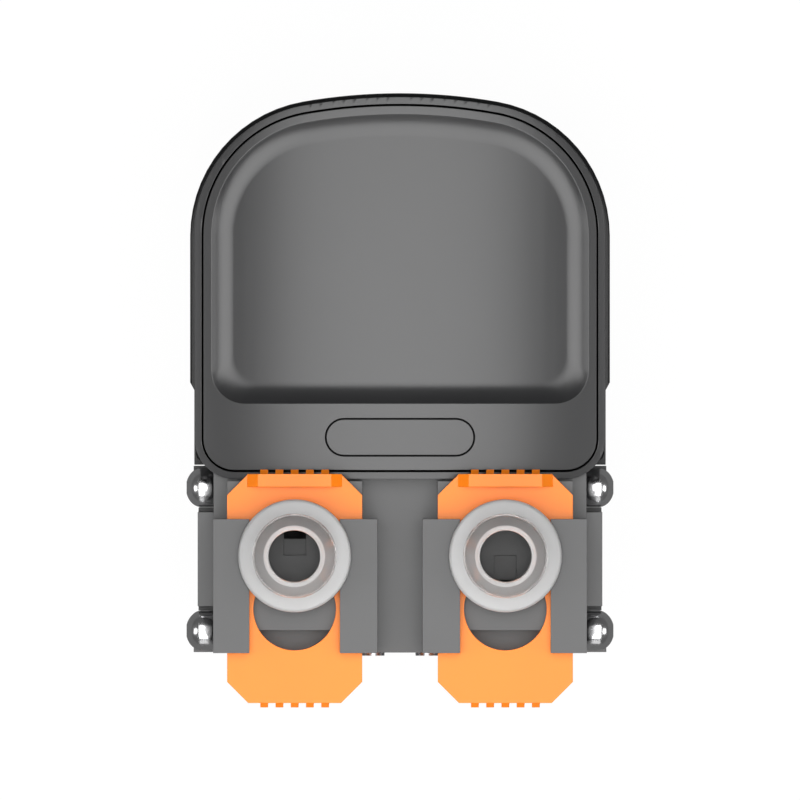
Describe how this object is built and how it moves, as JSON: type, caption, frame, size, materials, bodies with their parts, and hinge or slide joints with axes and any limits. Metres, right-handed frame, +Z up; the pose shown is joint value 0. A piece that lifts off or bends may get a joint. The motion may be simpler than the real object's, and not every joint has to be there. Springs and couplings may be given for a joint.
{
  "type": "rotary diaphragm pump",
  "caption": "Small rotary diaphragm pump: D-shaped motor hood with a dished lid, opposed diaphragm heads and clip-locked hose barbs pointing up.",
  "frame": {"origin": "centre of the four mounting threads, on the underside of the rubber feet", "axes": "+X across the ports to the right as seen from above, +Y from the ports along the motor to its rear, +Z up from the feet along the hose barbs"},
  "size_m": [0.0766, 0.1108, 0.088],
  "materials": {
    "tray_plastic": "fine textured black-grey nylon",
    "hood_plastic": "satin moulded grey ABS",
    "lid_plastic": "satin moulded grey ABS, bare where a name would be",
    "head_plastic": "glass-filled grey nylon",
    "port_plastic": "glass-filled grey nylon",
    "clip_plastic": "orange acetal, satin gloss",
    "fitting_plastic": "natural translucent polypropylene",
    "valve_plastic": "natural nylon",
    "rubber": "moulded EPDM",
    "valve_rubber": "silicone",
    "stainless": "polished stainless steel",
    "zinc_steel": "zinc-plated steel",
    "brass": "turned brass",
    "aluminium": "machined aluminium",
    "can_steel": "drawn and plated steel",
    "core_steel": "stacked electrical steel",
    "magnet": "sintered ferrite",
    "copper": "enamelled and bare copper",
    "cap_plastic": "moulded black nylon",
    "carbon": "pressed carbon"
  },
  "bodies": {
    "housing": {"rubber_feet": "rubber", "mount_bushes": "brass", "base_tray": "tray_plastic", "housing_screws": "zinc_steel", "housing_seal": "rubber", "hood_shell": "hood_plastic", "hood_lid": "lid_plastic", "cable_grommet": "rubber", "crankcase": "head_plastic", "crankcase_screws": "zinc_steel", "front_cover": "tray_plastic", "front_cover_screws": "zinc_steel", "rear_plate": "tray_plastic", "port_gasket": "rubber", "port_plate": "port_plastic", "port_plate_screws": "zinc_steel", "left_diaphragm": "rubber", "right_diaphragm": "rubber", "left_valve_plate": "valve_plastic", "right_valve_plate": "valve_plastic", "inlet_valves": "valve_rubber", "outlet_valves": "valve_rubber", "left_head_cover": "head_plastic", "right_head_cover": "head_plastic", "head_seals": "rubber", "left_head_screws": "stainless", "right_head_screws": "stainless", "motor_can": "can_steel", "motor_end_cap": "cap_plastic", "motor_magnets": "magnet", "front_motor_bearing": "zinc_steel", "rear_motor_bearing": "brass", "motor_brushes": "carbon", "motor_terminals": "brass", "motor_screws": "zinc_steel"},
    "rotor": {"motor_shaft": "zinc_steel", "armature_core": "core_steel", "armature_windings": "copper", "commutator": "copper", "eccentric": "zinc_steel", "balance_weight": "brass", "crank_set_screw": "can_steel"},
    "left_rod": {"left_rod": "aluminium", "left_rod_bearing": "zinc_steel", "left_clamp_disc": "aluminium", "left_clamp_screw": "zinc_steel"},
    "right_rod": {"right_rod": "aluminium", "right_rod_bearing": "zinc_steel", "right_clamp_disc": "aluminium", "right_clamp_screw": "zinc_steel"},
    "left_clip": {"left_clip": "clip_plastic"},
    "right_clip": {"right_clip": "clip_plastic"},
    "left_fitting": {"left_fitting": "fitting_plastic", "left_fitting_seals": "rubber"},
    "right_fitting": {"right_fitting": "fitting_plastic", "right_fitting_seals": "rubber"}
  },
  "joints": [
    {"name": "rotor_spin", "type": "hinge", "parent": "housing", "child": "rotor", "pos_m": [0, -0.032, 0.033], "axis": [0, 1, 0], "continuous": true},
    {"name": "left_rod_orbit", "type": "hinge", "parent": "rotor", "child": "left_rod", "pos_m": [0.0015, -0.035, 0.033], "axis": [0, 1, 0], "continuous": true, "deforming": ["left_diaphragm"]},
    {"name": "right_rod_orbit", "type": "hinge", "parent": "rotor", "child": "right_rod", "pos_m": [0.0015, -0.029, 0.033], "axis": [0, 1, 0], "continuous": true, "deforming": ["right_diaphragm"]},
    {"name": "left_clip_slide", "type": "slide", "parent": "housing", "child": "left_clip", "axis": [0, 1, 0], "range_m": [0, 0.0096]},
    {"name": "right_clip_slide", "type": "slide", "parent": "housing", "child": "right_clip", "axis": [0, 1, 0], "range_m": [0, 0.0096]},
    {"name": "left_fitting_swivel", "type": "hinge", "parent": "housing", "child": "left_fitting", "pos_m": [-0.01895, -0.0313, 0.0675], "axis": [0, 0, 1], "continuous": true},
    {"name": "right_fitting_swivel", "type": "hinge", "parent": "housing", "child": "right_fitting", "pos_m": [0.01895, -0.0313, 0.0675], "axis": [0, 0, 1], "continuous": true}
  ],
  "couplings": [
    {"joint": "left_rod_orbit", "follows": "rotor_spin", "ratio": -1},
    {"joint": "right_rod_orbit", "follows": "rotor_spin", "ratio": -1}
  ]
}
